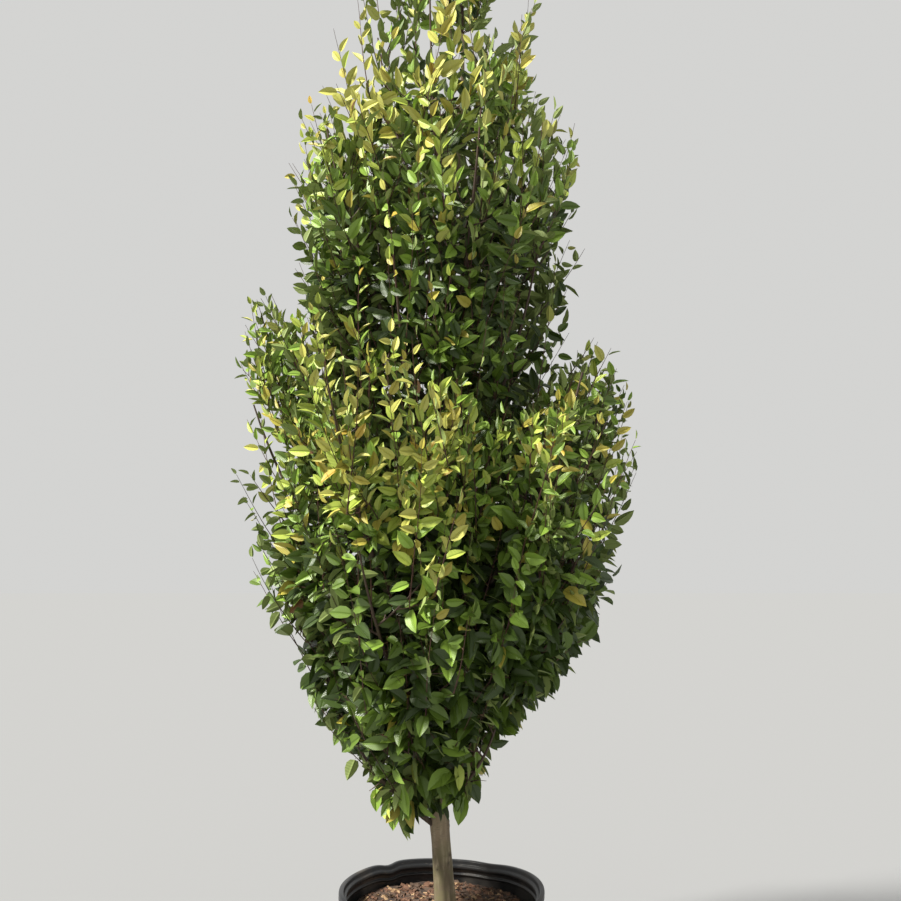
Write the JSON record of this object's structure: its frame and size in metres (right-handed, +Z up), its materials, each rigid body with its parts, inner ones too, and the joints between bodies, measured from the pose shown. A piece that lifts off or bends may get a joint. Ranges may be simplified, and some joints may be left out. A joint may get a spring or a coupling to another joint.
{
  "type": "columnar hornbeam",
  "caption": "Upright deciduous tree with a clear stem, steeply rising boughs and a dense leafy column above a wider skirt, standing in a round nursery pot.",
  "frame": {"origin": "centre of the pot's flat underside", "axes": "+Z up along the crown's axis; +X to the right in the picture, +Y away from its camera"},
  "size_m": [1.2064, 1.1905, 3.5188],
  "materials": {
    "pot": "satin black, dusty and scuffed",
    "soil": "loose bark chips",
    "trunk_bark": "smooth grey bark",
    "bough_bark": "smooth dark bark",
    "leaves": "slightly glossy leaf"
  },
  "bodies": {
    "root": {"pot": "pot", "soil": "soil", "trunk": "trunk_bark", "bough_01": "bough_bark", "bough_02": "bough_bark", "bough_03": "bough_bark", "bough_04": "bough_bark", "bough_05": "bough_bark", "bough_06": "bough_bark", "bough_07": "bough_bark", "bough_08": "bough_bark", "bough_09": "bough_bark", "bough_10": "bough_bark", "bough_11": "bough_bark", "bough_12": "bough_bark", "bough_13": "bough_bark", "bough_14": "bough_bark", "bough_15": "bough_bark", "bough_16": "bough_bark", "bough_17": "bough_bark", "bough_18": "bough_bark", "bough_19": "bough_bark", "bough_20": "bough_bark", "bough_21": "bough_bark", "bough_22": "bough_bark", "bough_23": "bough_bark", "bough_24": "bough_bark", "foliage_01": "leaves", "foliage_02": "leaves", "foliage_03": "leaves", "foliage_04": "leaves", "foliage_05": "leaves", "foliage_06": "leaves", "foliage_07": "leaves", "foliage_08": "leaves", "foliage_09": "leaves", "foliage_10": "leaves", "foliage_11": "leaves", "foliage_12": "leaves", "foliage_13": "leaves", "foliage_14": "leaves", "foliage_15": "leaves", "foliage_16": "leaves", "foliage_17": "leaves", "foliage_18": "leaves", "foliage_19": "leaves", "foliage_20": "leaves", "foliage_21": "leaves", "foliage_22": "leaves", "foliage_23": "leaves", "foliage_24": "leaves", "foliage_25": "leaves"}
  },
  "joints": []
}
